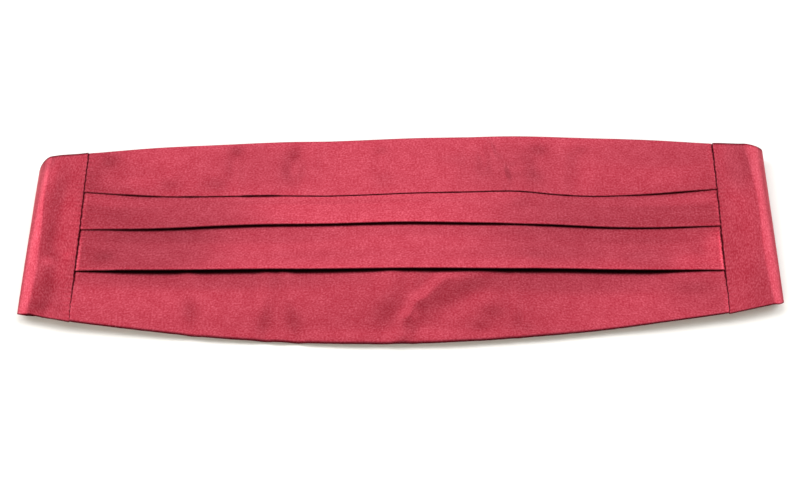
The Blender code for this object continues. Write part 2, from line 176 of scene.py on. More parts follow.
# Places where the cloth leans towards the front edge (over 0 degrees) or back from it. A slant
# over 0 carries the middle of the place to the right as it goes back.
Lean = namedtuple("Lean", "place x y reach_x reach_y degrees slant", defaults=(0.0,))
LEANS = (
    Lean(1, -0.1655, 0.0440, 0.0052, 0.0080, 6.5),
    Lean(1, -0.1480, 0.0310, 0.0200, 0.0070, -3.0),
    Lean(1, -0.1305, 0.0305, 0.0055, 0.0060, 6.0),
    Lean(1, -0.1050, 0.0320, 0.0070, 0.0090, 10.0),
    Lean(1, -0.0940, 0.0545, 0.0045, 0.0070, 10.0),
    Lean(1, -0.0810, 0.0570, 0.0040, 0.0040, 4.0),
    Lean(1, -0.0610, 0.0540, 0.0056, 0.0110, 10.0, 0.08),
    Lean(1, -0.0440, 0.0550, 0.0040, 0.0060, 5.0),
    Lean(1, -0.0105, 0.0565, 0.0060, 0.0070, 9.0),
    Lean(1, 0.0000, 0.0460, 0.0110, 0.0070, 3.5),
    Lean(1, 0.0300, 0.0500, 0.0120, 0.0080, -3.0),
    Lean(1, 0.0380, 0.0600, 0.0035, 0.0040, 4.0),
    Lean(1, 0.0510, 0.0540, 0.0036, 0.0100, 9.0, -0.25),
    Lean(1, 0.0565, 0.0510, 0.0026, 0.0110, -8.0, -0.25),
    Lean(1, 0.0640, 0.0450, 0.0060, 0.0100, 8.0),
    Lean(1, 0.0640, 0.0335, 0.0150, 0.0090, 8.0),
    Lean(1, 0.0800, 0.0560, 0.0085, 0.0090, 10.0),
    Lean(1, 0.0930, 0.0560, 0.0045, 0.0050, -5.0),
    Lean(1, 0.1040, 0.0550, 0.0050, 0.0060, 6.0),
    Lean(2, -0.1740, 0.0165, 0.0060, 0.0050, 2.5),
    Lean(2, -0.1580, 0.0100, 0.0080, 0.0040, 2.0),
    Lean(2, 0.0000, 0.0235, 0.0650, 0.0050, 4.0),
    Lean(2, 0.0690, 0.0215, 0.0110, 0.0070, 9.0),
    Lean(2, 0.1240, 0.0200, 0.0090, 0.0050, 3.0),
    Lean(3, -0.1630, -0.0150, 0.0060, 0.0055, 7.0),
    Lean(3, 0.0750, -0.0124, 0.0060, 0.0060, -3.0),
    Lean(3, 0.1380, -0.0070, 0.0160, 0.0080, 2.5),
    Lean(4, -0.1145, -0.0460, 0.0044, 0.0130, 7.0, -0.12),
    Lean(4, -0.0735, -0.0515, 0.0038, 0.0140, 7.0),
    Lean(4, -0.0582, -0.0515, 0.0040, 0.0150, 7.0, -0.20),
    Lean(4, -0.0075, -0.0460, 0.0065, 0.0130, 6.0, 0.10),
    Lean(4, 0.0365, -0.0325, 0.0110, 0.0100, 6.5, 0.7),
    Lean(4, 0.0235, -0.0395, 0.0080, 0.0080, 5.0, 0.6),
    Lean(4, 0.0068, -0.0560, 0.0018, 0.0080, 4.5),
    Lean(4, 0.0125, -0.0575, 0.0032, 0.0060, -3.5),
    Lean(4, 0.0100, -0.0370, 0.0042, 0.0070, -3.5, 0.5),
    Lean(4, 0.0015, -0.0500, 0.0036, 0.0080, -3.5, 0.1),
    Lean(4, 0.0440, -0.0550, 0.0045, 0.0055, 5.0),
    Lean(4, 0.0640, -0.0520, 0.0016, 0.0090, 6.0),
    Lean(4, 0.0690, -0.0565, 0.0014, 0.0050, 6.0),
    Lean(4, 0.0500, -0.0470, 0.0060, 0.0065, 6.0),
    Lean(4, 0.0000, -0.0600, 0.0700, 0.0060, -4.0),
    Lean(4, 0.0950, -0.0520, 0.0300, 0.0080, -2.0),
    Lean(4, 0.1375, -0.0300, 0.0080, 0.0045, -6.0),
    Lean(4, 0.1600, -0.0345, 0.0130, 0.0090, 5.5),
    Lean("left", -0.1938, 0.0220, 0.0055, 0.0200, 3.0),
    Lean("left", -0.1925, -0.0017, 0.0055, 0.0100, 2.5),
    Lean("left", -0.1892, -0.0161, 0.0035, 0.0060, 4.0),
    Lean("left", -0.1926, -0.0344, 0.0048, 0.0090, 6.0),
    Lean("left", -0.1968, -0.0445, 0.0050, 0.0045, 8.0),
    Lean("left", -0.1934, -0.0185, 0.0038, 0.0045, -8.0),
    Lean("left", -0.1834, -0.0142, 0.0030, 0.0040, -4.0),
)

# Painted light and shade: places where the satin's colour is made darker (under 0) or lighter to stand
# for how its sheen falls
Patch = namedtuple("Patch", "place x y reach_x reach_y tone")
PATCHES = (
    Patch(1, -0.176, 0.035, 0.020, 0.030, -0.13),
    Patch(1, -0.082, 0.044, 0.034, 0.016, -0.12),
    Patch(1, 0.068, 0.040, 0.034, 0.022, -0.16),
    Patch(1, 0.160, 0.052, 0.060, 0.012, -0.14),
    Patch(2, -0.126, 0.011, 0.046, 0.020, -0.22),
    Patch(2, -0.020, 0.018, 0.060, 0.016, 0.11),
    Patch(2, 0.105, 0.013, 0.056, 0.020, -0.22),
    Patch(3, -0.140, -0.008, 0.041, 0.022, -0.29),
    Patch(3, -0.080, 0.001, 0.050, 0.007, -0.12),
    Patch(3, 0.030, 0.003, 0.060, 0.004, -0.07),
    Patch(3, 0.098, -0.003, 0.055, 0.016, -0.21),
    Patch(3, 0.177, -0.011, 0.009, 0.013, 0.36),
    Patch(3, 0.161, -0.019, 0.012, 0.006, 0.16),
    Patch(3, 0.138, -0.016, 0.016, 0.007, -0.12),
    Patch(4, -0.110, -0.027, 0.080, 0.0065, -0.17),
    Patch(4, 0.100, -0.029, 0.075, 0.0075, -0.18),
    Patch(4, 0.165, -0.040, 0.020, 0.010, -0.10),
    Patch("left", -0.1846, -0.001, 0.0064, 0.028, 0.32),
    Patch("left", -0.1925, 0.004, 0.0045, 0.030, -0.10),
    Patch("left", -0.2005, 0.0445, 0.0050, 0.0080, -0.24),
    Patch("left", -0.2022, 0.000, 0.0036, 0.015, 0.06),
    Patch("left", -0.1895, -0.046, 0.0065, 0.009, -0.13),
    Patch("right", 0.1915, 0.042, 0.009, 0.018, -0.25),
    Patch("right", 0.187, -0.004, 0.012, 0.028, 0.16),
)

# How finely each stretch is cut
NEAR_SEAM = 0.0060
FRONT_STATIONS = 180
LIP_STATIONS = 10
LIP_CROWDING = 1.7           # closer together towards the seam
TURN_STEPS = 8
RETURN_STEPS = 3
HIDDEN_STEPS = 3
HIDDEN_SHARES = np.array([0.4, 0.8, 0.88, 0.94, 1.0])

# Painted shade at each flap's edge, painted shadow on the pleat under it and how far in front of
# the edge it reaches, and a painted highlight just behind the edge
Flap = namedtuple("Flap", "edge shadow reach light")
FLAPS = {
    "fold_1": Flap((0.5, 1.6), 0.9, 0.0006, 0.05),
    "fold_2": Flap((0.4, 1.6), 0.9, 0.0016, 0.15),
    "fold_3": Flap((0.5, 1.8), 1.0, 0.0026, 0.22),
}
LIGHT_FROM_EDGE = 0.0010
EDGE_LIGHT_REACH = 0.0007
EDGE_ZONE = 0.0020
EDGE_STATIONS = np.array([0.0016, 0.0012, 0.0008, 0.0004])
SHUT_REACH = 0.35            # share of its shadow's reach that a flap keeps where it lies shut
BAND_STEPS = 34
BAND_CROWDING = 1.25         # closer together under a flap
SHARP_EDGE = math.radians(60)


def smoothstep(low, high, value):
    """From 0 at low to 1 at high, level at both: 3 t squared less 2 t cubed."""
    t = np.clip((value - low) / (high - low), 0.0, 1.0)
    return t * t * (3.0 - 2.0 * t)


def along_front(rows, column, x):
    """A column of a table at each x: a cubic whose slope at a row comes from its neighbours."""
    places = np.array([row.x for row in rows])
    values = np.array([getattr(row, column) for row in rows])
    slopes = np.gradient(values, places)
    row = np.clip(np.searchsorted(places, x) - 1, 0, len(places) - 2)
    step = places[row + 1] - places[row]
    t = (x - places[row]) / step
    start = values[row] * (1 + 2 * t) * (1 - t) ** 2 + slopes[row] * step * t * (1 - t) ** 2
    end = values[row + 1] * (3 - 2 * t) * t ** 2 - slopes[row + 1] * step * (1 - t) * t ** 2
    return start + end


def rise(x, y):
    """Height of the front's underside: ends lofted by a power of the way out, a lift over the strap."""
    out = np.abs(x)
    front_share = np.clip(out - FRONT_LOFT_STARTS, 0, None) / (SEAM_X - FRONT_LOFT_STARTS)
    back_share = np.clip(out - BACK_LOFT_STARTS, 0, None) / (SEAM_X - BACK_LOFT_STARTS)
    towards_back = smoothstep(LOFT_FRONT_Y, LOFT_BACK_Y, y)
    front_loft = FRONT_LOFT * front_share ** LOFT_POWER
    back_loft = BACK_LOFT * back_share ** LOFT_POWER
    loft = front_loft * (1 - towards_back) + back_loft * towards_back
    over_strap = LIFT_OVER_STRAP * (1 - smoothstep(*ALONG_STRAP, out))
    from_clasp = np.abs(x - CLASP_X)
    over_clasp = (LIFT_OVER_CLASP - LIFT_OVER_STRAP) * (1 - smoothstep(*ROUND_CLASP, from_clasp))
    left_beside = 1 - DROPS_BY * smoothstep(*BESIDE_STRAP, np.abs(y))
    return loft + (over_strap + over_clasp) * left_beside


def along_seam(x, y, left, right):
    """A column of the seams' table at each y, one for the left seam and another for the right."""
    rows = [seam.y for seam in SEAMS]
    at_left = np.interp(y, rows, [getattr(seam, left) for seam in SEAMS])
    at_right = np.interp(y, rows, [getattr(seam, right) for seam in SEAMS])
    return np.where(x < 0, at_left, at_right)


def ripple(wave, y, shift=0.0):
    """A sine along y: the wave's size by the sine of its turns by y, its start and a shift."""
    return wave.size * np.sin(y * wave.turns + wave.start + shift)


def seam_bow(x, y):
    """How far the seams bend sideways at y: the table's bow, which fades over the pieces they join,
    and a wobble of two ripples at the seam itself."""
    distance = np.abs(SEAM_X - np.abs(x))
    near = 1 - smoothstep(0, BOW_FADES_OVER, distance)
    wobble = ripple(FINE_WOBBLE, y, ripple(FINE_WOBBLE_DRIFT, y))
    wobble = wobble + ripple(BROAD_WOBBLE, y, BROAD_WOBBLE_SLANT * x)
    nearest = 1 - smoothstep(0, WOBBLE_FADES_OVER, distance)
    return along_seam(x, y, "left", "right") * near + SEAM_WOBBLE * wobble * nearest


def pull(y):
    """How hard the seam's stitching pulls at y, from 0 between two stitches to 1 at one: a sine
    that turns once a stitch, with drifts that make the stitches uneven."""
    drift = sum(ripple(wave, y) for wave in STITCH_DRIFTS)
    return 0.5 + 0.5 * np.sin(2 * math.pi * y / STITCH + drift)


def seam_form(distance, y, lip, ridge_height):
    """Height by distance from a seam: a quarter round down into it, beyond a low ridge over the
    turned-in edge, with a small pucker at each stitch."""
    inside = np.clip(1 - distance / lip, 0, 1)
    quarter_round = np.sqrt(np.clip(1 - inside ** 2, 0, 1)) - 1
    depth = LIP_DEPTH * lip * (LIP_BETWEEN_STITCHES + (1 - LIP_BETWEEN_STITCHES) * pull(y))
    ridge = ridge_height * np.exp(-((distance - RIDGE_FROM_SEAM) / RIDGE_WIDTH) ** 2)
    pucker = PUCKER_HEIGHT * (0.5 - pull(y)) * np.exp(-distance / PUCKER_REACH)
    return depth * quarter_round + ridge + pucker


def painted_seam_shade(distance, y):
    """Painted shade in a seam's groove, from 0 in the open to 1: a dark line that is widest at each
    stitch.
    """
    width = DARK_STITCH * (DARK_BETWEEN_STITCHES + (1 - DARK_BETWEEN_STITCHES) * pull(y))
    return 1 - smoothstep(DARK_LIP, DARK_LIP + width, distance)


def creases(place, x, y):
    """The creases of one band or tab, each a bell across its line that fades beyond the line's ends,
    and its leans, each a slope that eases off as one over 1 plus the distance squared."""
    height = np.zeros(np.broadcast(x, y).shape)
    for crease in CREASES:
        if crease.place != place:
            continue
        run_x, run_y = crease.x1 - crease.x0, crease.y1 - crease.y0
        length = math.hypot(run_x, run_y)
        along = ((x - crease.x0) * run_x + (y - crease.y0) * run_y) / length
        across = ((x - crease.x0) * run_y - (y - crease.y0) * run_x) / length
        beyond = np.maximum(np.maximum(-along, along - length), 0)
        height = height + crease.height * np.exp(-(across ** 2 + beyond ** 2) / crease.width ** 2)
    for lean in LEANS:
        if lean.place != place:
            continue
        along = (y - lean.y) / lean.reach_y
        across = (x - lean.x - lean.slant * (y - lean.y)) / lean.reach_x
        fade = np.exp(-across ** 2) / (1 + along ** 2)
        height = height + math.tan(math.radians(lean.degrees)) * (y - lean.y) * fade
    return height


def tones(place, x, y):
    """How much painted light or shade a band or tab gets: each patch a flat-topped bell round its
    middle.
    """
    tone = np.zeros(np.broadcast(x, y).shape)
    for patch in PATCHES:
        if patch.place == place:
            across, along = (x - patch.x) / patch.reach_x, (y - patch.y) / patch.reach_y
            tone = tone + patch.tone * np.exp(-(across ** 2 + along ** 2) ** 2)
    return tone


class Fold:
    """The folded cloth's middle line at each x, gathered in columns from its back hem to its front
    hem. Each column also carries painted shade by how far it lies inside a fold, from 0 in the
    open to 1, and painted light and shade that make it lighter or darker."""

    def __init__(self, x, back):
        self.x = x[:, None]
        self.back = back
        self.from_seam = SEAM_X - np.abs(self.x)
        self.free = FREE_AT_SEAM + (1 - FREE_AT_SEAM) * smoothstep(0, FREE_FROM_SEAM, self.from_seam)
        self.columns = []

    def lie(self, band, y):
        """The creases of a band. The first is held level along its back hem."""
        hem = creases(band, self.x, self.back) if band == 1 else 0.0
        return creases(band, self.x, y) - hem

    def add(self, band, y, z, inside=0.0, light=0.0):
        """Columns at each y and z, on the creases of their band, with painted shade and with the painted
        light and shade of their band's patches and of any highlight.
        """
        y = np.broadcast_to(y, (len(self.x), np.shape(y)[-1]))
        z = np.broadcast_to(z, y.shape) + self.lie(band, y)
        inside = np.broadcast_to(inside, y.shape)
        self.columns.append((y, z, inside, tones(band, self.x, y) + light))

    def half_turn(self, band, y, start, end, side, inside=(1.0, 1.0), free=1.0):
        """Half a circle between two levels, bulging to one side from y, its painted shade running from
        one given value to the other.
        """
        angle = np.linspace(-math.pi / 2, math.pi / 2, TURN_STEPS + 1)
        radius = (end - start) / 2
        around = y + side * np.abs(radius) * np.cos(angle)
        level = (start + end) / 2 + radius * np.sin(angle)
        self.add(band, around, level, free * np.linspace(*inside, TURN_STEPS + 1))

    def grid(self):
        """The gathered columns, lifted onto what the front lies on and shaped into the seams, with a
        painted highlight along each seam's lip and painted shade in each seam's groove.
        """
        y, z, inside, tone = (np.concatenate(parts, axis=1) for parts in zip(*self.columns))
        lip = along_seam(self.x, y, "left_lip", "right_lip")
        z = np.maximum(z + rise(self.x, y), LOW) + seam_form(self.from_seam, y, lip, RIDGE_HEIGHT)
        light = np.exp(-((self.from_seam - LIGHT_FROM_SEAM) / LIGHT_REACH) ** 2)
        tone = tone + PAINTED_LIP_HIGHLIGHT * lip / WIDEST_LIP * light
        return y, z, np.maximum(np.clip(inside, 0, 1), painted_seam_shade(self.from_seam, y)), tone


# How a band comes out from under the fold behind it: where, on which level, where it starts to
# rise, and how dark that fold's painted shadow is on it and how far it reaches
Emerging = namedtuple("Emerging", "start level rises_from shadow reach")


def shadow_on(emerging, y):
    """The painted shadow on a band: full at the fold behind it, then off by a smooth step over its
    reach.
    """
    return emerging.shadow * (1 - smoothstep(0, emerging.reach, emerging.start - y))


def add_back_hem(fold):
    """The turned-under back edge: a layer along the floor and half a turn up to the first band, in
    painted shade that fades out round the turn.
    """
    share = np.linspace(0, 1, HIDDEN_STEPS + 1)[:-1]
    fold.add(1, fold.back - HEM + (HEM - BEND) * share, LOW, inside=1.0)
    fold.half_turn(1, fold.back - BEND, LOW, MIDDLE, TO_BACK, inside=(1.0, 0.0))
    return Emerging(start=fold.back - BEND, level=MIDDLE, rises_from=fold.back, shadow=0.0, reach=1.0)


def add_pleat(fold, band, emerging, place, opening, flap):
    """A band and the pleat under its fold. The band rises by a smooth step from the level it comes
    out on to the top of its pleat, and its flap is lifted at the fold. Half a turn there, the
    return layer, half a turn at the pleat's inner edge and the hidden layer lead back to the fold."""
    step = fold.lie(band + 1, place) - fold.lie(band, place)
    lift = np.maximum(opening, step)
    share = np.linspace(0, 1, BAND_STEPS + 1)[1:] ** BAND_CROWDING
    y = emerging.start + (place + EDGE_ZONE - emerging.start) * share
    y = np.concatenate([y, place + BEND + EDGE_STATIONS], axis=1)
    risen = smoothstep(emerging.rises_from, place + PLEAT_DEPTH + BEND, y)
    level = emerging.level + (HIGH - emerging.level) * risen
    level = level + lift * (1 - smoothstep(0, FLAP_EASES_OVER, y - place))
    # A painted highlight just behind the flap's edge and painted shadow from the fold behind; the flap's
    # edge, the return layer and the hidden layer get painted shade
    light = flap.light * np.exp(-((y - place - LIGHT_FROM_EDGE) / EDGE_LIGHT_REACH) ** 2)
    fold.add(band, y, level, shadow_on(emerging, y), light)
    fold.half_turn(band, place + BEND, HIGH + lift, MIDDLE + lift, TO_FRONT, flap.edge, fold.free)
    inner = place + PLEAT_DEPTH - BEND
    share = np.linspace(0, 1, RETURN_STEPS + 1)[1:-1]
    y = place + BEND + (inner - place - BEND) * share
    fold.add(band, y, MIDDLE + lift * (1 - share), inside=1.0)
    fold.half_turn(band, inner, MIDDLE, LOW, TO_BACK)
    y = inner + (place - inner) * HIDDEN_SHARES
    fold.add(band, y, LOW + step * (1 - smoothstep(0, STEP_EASES_OVER, y - place)), flap.shadow)
    reach = flap.reach * (SHUT_REACH + (1 - SHUT_REACH) * lift / np.max(lift))
    return Emerging(start=place, level=LOW, rises_from=place, shadow=flap.shadow, reach=reach)


def add_front_hem(fold, band, emerging, front, hem_lift):
    """The last band, which rises evenly to the front edge under the painted shadow of the fold behind
    it, and the edge turned under: half a turn in painted shade, a dark line along the front edge,
    and a layer that comes down again."""
    share = np.linspace(0, 1, BAND_STEPS + 1)[1:-1] ** BAND_CROWDING
    y = emerging.start + (front + BEND - emerging.start) * share
    length = emerging.start - front
    lift = hem_lift * (emerging.start - y) / length
    over_hem = HEM_EDGE * smoothstep(emerging.rises_from, front + HEM, y)
    fold.add(band, y, LOW + lift + over_hem, shadow_on(emerging, y))
    turn_y, turn_z = front + (HEM_EDGE + SATIN) / 2, LOW + hem_lift
    fold.half_turn(band, turn_y, turn_z + HEM_EDGE, turn_z, TO_FRONT, inside=(0.9, 1.0))
    share = np.linspace(0, 1, HIDDEN_STEPS + 1)[1:]
    y = turn_y + (front + HEM - turn_y) * share
    fold.add(band, y, turn_z - hem_lift * HEM / length * share)


def front_lines(x):
    """The folded cloth's middle line at each x: its back hem, three pleats and its front hem."""
    edges = {
        name: along_front(SECTIONS, name, x)[:, None] + SHIFTS.get(name, FOLD_SHIFT)
        for name in Section._fields[1:]
    }
    openings = {name: along_front(OPENINGS, name, x)[:, None] for name in Opening._fields[1:]}
    fold = Fold(x, edges["back"])
    emerging = add_back_hem(fold)
    for band, (name, flap) in enumerate(FLAPS.items(), 1):
        emerging = add_pleat(fold, band, emerging, edges[name], openings[name], flap)
    front = edges["front"] + CORNER_PULL * (1 - smoothstep(0, CORNER_REACH, fold.from_seam))
    add_front_hem(fold, len(FLAPS) + 1, emerging, front, openings["hem"])
    return fold.grid()


def offset(u, v, distance):
    """Each row of points in a plane, moved to its left by the distance with mitred corners."""
    steps = np.stack([np.diff(u, axis=1), np.diff(v, axis=1)], axis=-1)
    normals = np.stack([-steps[..., 1], steps[..., 0]], axis=-1)
    normals /= np.linalg.norm(normals, axis=-1, keepdims=True)
    before = np.concatenate([normals[:, :1], normals], axis=1)
    after = np.concatenate([normals, normals[:, -1:]], axis=1)
    corners = before + after
    corners /= np.linalg.norm(corners, axis=-1, keepdims=True)
    reach = distance / np.sum(corners * before, axis=-1)
    return u + corners[..., 0] * reach, v + corners[..., 1] * reach


def surface(name, points, faces, look, uv=None, values=None):
    """A piece from its points and quads, with cloth coordinates and named values at each point if
    they are given."""
    mesh = bpy.data.meshes.new(name)
    mesh.from_pydata(points.tolist(), [], faces.tolist())
    for title, value in (values or {}).items():
        attribute = mesh.attributes.new(title, "FLOAT", "POINT")
        attribute.data.foreach_set("value", value.astype(np.float32).ravel())
    if uv is not None:
        corner_points = np.empty(len(mesh.loops), dtype=np.int32)
        mesh.loops.foreach_get("vertex_index", corner_points)
        cloth_map = mesh.uv_layers.new(name="cloth")
        cloth_map.data.foreach_set("uv", uv[corner_points].astype(np.float32).ravel())
    mesh.materials.append(look)
    mesh.shade_smooth()
    mesh.set_sharp_from_angle(angle=SHARP_EDGE)
    piece = bpy.data.objects.new(name, mesh)
    bpy.context.collection.objects.link(piece)
    return piece


def grid_quads(rows, columns, turned=False):
    """The quads of a grid of numbered points, or the same seen from behind."""
    number = np.arange(rows * columns).reshape(rows, columns)
    quads = np.stack([number[:-1, :-1], number[:-1, 1:], number[1:, 1:], number[1:, :-1]], axis=-1)
    quads = quads.reshape(-1, 4)
    return quads[:, ::-1] if turned else quads


def cloth(name, face, back, look, values=None, turned=False):
    """A closed wall between two grids of points, its face and its back, with the same values on both."""
    rows, columns = face.shape[:2]
    count = rows * columns
    number = np.arange(count).reshape(rows, columns)
    rim = np.concatenate([number[0, :-1], number[:-1, -1], number[-1, :0:-1], number[:0:-1, 0]])
    following = np.roll(rim, -1)
    sides = np.stack([rim, rim + count, following + count, following], axis=1)
    if turned:
        sides = sides[:, ::-1]
    back_quads = grid_quads(rows, columns, not turned) + count
    faces = np.concatenate([grid_quads(rows, columns, turned), back_quads, sides])
    points = np.concatenate([face.reshape(-1, 3), back.reshape(-1, 3)])
    uv = np.concatenate([cloth_coordinates(face).reshape(-1, 2)] * 2)
    values = {title: np.concatenate([value.ravel()] * 2) for title, value in (values or {}).items()}
    return surface(name, points, faces, look, uv, values)


def cloth_coordinates(grid):
    """Lengths along the two ways of a grid of points: down its first column, and along its rows."""
    along = np.linalg.norm(np.diff(grid, axis=1), axis=-1)
    along = np.concatenate([np.zeros((len(grid), 1)), np.cumsum(along, axis=1)], axis=1)
    down = np.linalg.norm(np.diff(grid[:, 0], axis=0), axis=-1)
    down = np.concatenate([[0], np.cumsum(down)])
    return np.stack([np.broadcast_to(down[:, None], along.shape), along], axis=-1)


def make_front(look):
    """The pleated front: the folded line carried along x, closely spaced where it meets the seams."""
    near = NEAR_SEAM * np.linspace(0, 1, LIP_STATIONS) ** LIP_CROWDING
    middle = np.linspace(-SEAM_X + near[-1], SEAM_X - near[-1], FRONT_STATIONS)
    x = np.concatenate([-SEAM_X + near[:-1], middle, SEAM_X - near[-2::-1]])
    y, z, inside, tone = front_lines(x)
    across = x[:, None] + seam_bow(x[:, None], y)
    grids = []
    for distance in (-SATIN / 2, SATIN / 2):
        moved_y, moved_z = offset(y, z, distance)
        grids.append(np.stack([across, moved_y, moved_z], axis=-1))
    # Its colour carries the painted shade and the painted light and shade worked out with its lines
    return cloth("front_satin", *grids, look, {"inside": inside, "tone": tone}, turned=True)


# The tabs, each with its sizes at its front edge and at its back edge
Edges = namedtuple("Edges", "front back")
Tab = namedtuple("Tab", "name side seam top under reach height roll wave_start")
TABS = (
    Tab(
        name="left", side=-1,
        seam=Edges(-0.0540, 0.0478), top=Edges(-0.0496, 0.0454), under=Edges(-0.0481, 0.0375),
        reach=Edges(0.2083, 0.2062), height=Edges(0.0060, 0.0140), roll=Edges(0.0084, 0.0072),
        wave_start=-1.4,
    ),
    Tab(
        name="right", side=1,
        seam=Edges(-0.0491, 0.0542), top=Edges(-0.0436, 0.0547), under=Edges(-0.0405, 0.0535),
        reach=Edges(0.2098, 0.2086), height=Edges(0.0060, 0.0130), roll=Edges(0.0064, 0.0108),
        wave_start=-0.5,
    ),
)
SEAM_GAP = 0.0002
TAB_SEAM_X = SEAM_X + SEAM_GAP
TAB_ABOVE_UNDERSIDE = 0.0013
TAB_LOW = TAB_SATIN / 2 + FLOOR_GAP
STRAP_STARTS = 0.128
STRAP_WIDTH = 0.030
TAB_STATIONS = 140
EDGE_SHARES = np.array([0.0, 0.003])
EDGE_SHADE_ENDS = 0.009      # share of the way from one edge to the other
BACK_EDGE_SHADE = 0.85
TAB_TOP_STEPS = 40
TAB_CROWDING = 1.8           # closer together towards the seam
ROLL_STEPS = 24
TAB_UNDER_STEPS = 40
ROLL_POWER = 1.35
ROLL_WAVE = 0.12             # how much of its width the roll swells and narrows
ROLL_WAVE_TURNS = 8.0        # radians from the front edge to the back
SEAM_ALLOWANCE = 0.008
ALLOWANCE_SHARES = np.array([0, 0.5, 0.9, 1.0])
ALLOWANCE_SHORTER = 0.035    # than the seam, as a share of its length
ALLOWANCE_NARROWS = 0.12
BELOW_FRONT = 0.0014


def between(edges, share):
    """The value at a share of the way from the front edge to the back edge."""
    return edges.front + (edges.back - edges.front) * share


def tab_lines(tab, share):
    """A tab's middle line at each share of the way from its front edge to its back edge, and how
    far each point is on its upper side. In x and z the line goes out from the seam, round a
    flattened roll and back along the floor. The roll is half an ellipse whose sine and cosine are
    raised to a power, which slopes its shoulders. In y the tab tapers from the seam's length to the
    strap's width."""
    seam_y, top_y, under_y = (between(edges, share) for edges in (tab.seam, tab.top, tab.under))
    seam_z = rise(TAB_SEAM_X, seam_y) + TAB_ABOVE_UNDERSIDE
    radius = (between(tab.height, share) - TAB_SATIN) / 2
    wave = ROLL_WAVE * np.sin(ROLL_WAVE_TURNS * share + tab.wave_start)
    width = between(tab.roll, share) * (1 + wave)
    roll_x = between(tab.reach, share) - TAB_SATIN / 2 - width

    kept = 1 - ALLOWANCE_SHARES
    allowance_x = np.broadcast_to(TAB_SEAM_X - SEAM_ALLOWANCE * kept, (len(share), len(kept)))
    allowance_y = seam_y * (1 - ALLOWANCE_SHORTER - ALLOWANCE_NARROWS * kept)
    allowance_z = rise(allowance_x, allowance_y) - BELOW_FRONT

    out = np.linspace(0, 1, TAB_TOP_STEPS + 1)[None, :] ** TAB_CROWDING
    top_x = TAB_SEAM_X + (roll_x - TAB_SEAM_X) * out
    top_line_y = seam_y + (top_y - seam_y) * out
    top_z = seam_z + (TAB_LOW + 2 * radius - seam_z) * smoothstep(0, 1, out)
    top_z = top_z + seam_form(top_x - TAB_SEAM_X, top_line_y, TAB_LIP, 0)

    turn = np.linspace(0, 1, ROLL_STEPS + 1)[None, 1:]
    around, up = np.sin(math.pi * turn), np.cos(math.pi * turn)
    roll_line_x = roll_x + width * around ** ROLL_POWER
    roll_z = TAB_LOW + radius * (1 + np.sign(up) * np.abs(up) ** ROLL_POWER)
    tapered = np.where(turn < 0.5, 1 - np.sqrt(1 - around ** (2 * ROLL_POWER)), 1.0)
    roll_y = top_y + (under_y - top_y) * tapered

    inwards = np.linspace(0, 1, TAB_UNDER_STEPS + 1)[None, 1:]
    under_x = roll_x + (STRAP_STARTS - roll_x) * inwards
    strap_y = STRAP_WIDTH * (share - 0.5)
    under_line_y = under_y + (strap_y - under_y) * smoothstep(0, 1, inwards)
    under_z = np.full(under_x.shape, TAB_LOW)

    x = np.concatenate([allowance_x, top_x, roll_line_x, under_x], axis=1)
    y = np.concatenate([allowance_y, top_line_y, roll_y, under_line_y], axis=1)
    z = np.concatenate([allowance_z, top_z, roll_z, under_z], axis=1)
    open_columns = allowance_x.shape[1] + top_x.shape[1]
    upper = np.concatenate([np.ones(open_columns), (1 + up[0]) / 2, np.zeros(TAB_UNDER_STEPS)])
    return x, y, z, upper[None, :]


def make_tab(tab, look):
    """A tab: its lines from the front edge to the back, as a wall of even thickness. Its colour has
    painted shade in the seam and at both edges, and painted light and shade on its upper side."""
    middle = np.linspace(EDGE_SHADE_ENDS, 1 - EDGE_SHADE_ENDS, TAB_STATIONS)
    share = np.concatenate([EDGE_SHARES, middle, 1 - EDGE_SHARES[::-1]])[:, None]
    x, y, z, upper = tab_lines(tab, share)
    sideways = tab.side * x
    z = z + upper * creases(tab.name, sideways, y)
    across = sideways + seam_bow(sideways, y) * upper
    grids = []
    for distance in (TAB_SATIN / 2, -TAB_SATIN / 2):
        moved_x, moved_z = offset(x, z, distance)
        grids.append(np.stack([across + tab.side * (moved_x - x), y, moved_z], axis=-1))
    # Painted shade: a dark line along the front edge, a fainter one along the back edge, and the seam's
    # groove
    at_front = 1 - smoothstep(EDGE_SHARES[-1], EDGE_SHADE_ENDS, share)
    at_back = BACK_EDGE_SHADE * (1 - smoothstep(EDGE_SHARES[-1], 2 * EDGE_SHADE_ENDS, 1 - share))
    in_seam = painted_seam_shade(np.clip(x - TAB_SEAM_X, 0, None), y)
    inside = np.maximum(in_seam, np.maximum(at_front, at_back))
    values = {"inside": inside, "tone": tones(tab.name, sideways, y) * upper}
    return cloth(f"tab_{tab.name}_satin", *grids, look, values, turned=tab.side < 0)


# The straps: where each starts, where it turns back, which way it goes and how long it was cut
Strap = namedtuple("Strap", "name start turn towards cut")
STRAPS = (
    Strap(name="left", start=-0.1277, turn=0.0210, towards=1, cut=0.172),
    Strap(name="right", start=0.1277, turn=0.0432, towards=-1, cut=0.108),
)
STRAP_WALL = 0.0010
STRAP_TURN_INSIDE = 0.0018
STRAP_GAP = 0.0003
TURN_BACK = 0.019
TURN_BACK_SETTLES = 0.011
RIB = 0.0016
RIB_DEPTH = 0.00006
BOUND_EDGE = Fade(0.45, 0.5)     # shares of the width from the middle
BOUND_EDGE_THINNER = 0.35
STRAP_STEP = 0.0004
STRAP_TURN_STEPS = 16
STRAP_ROWS = 16


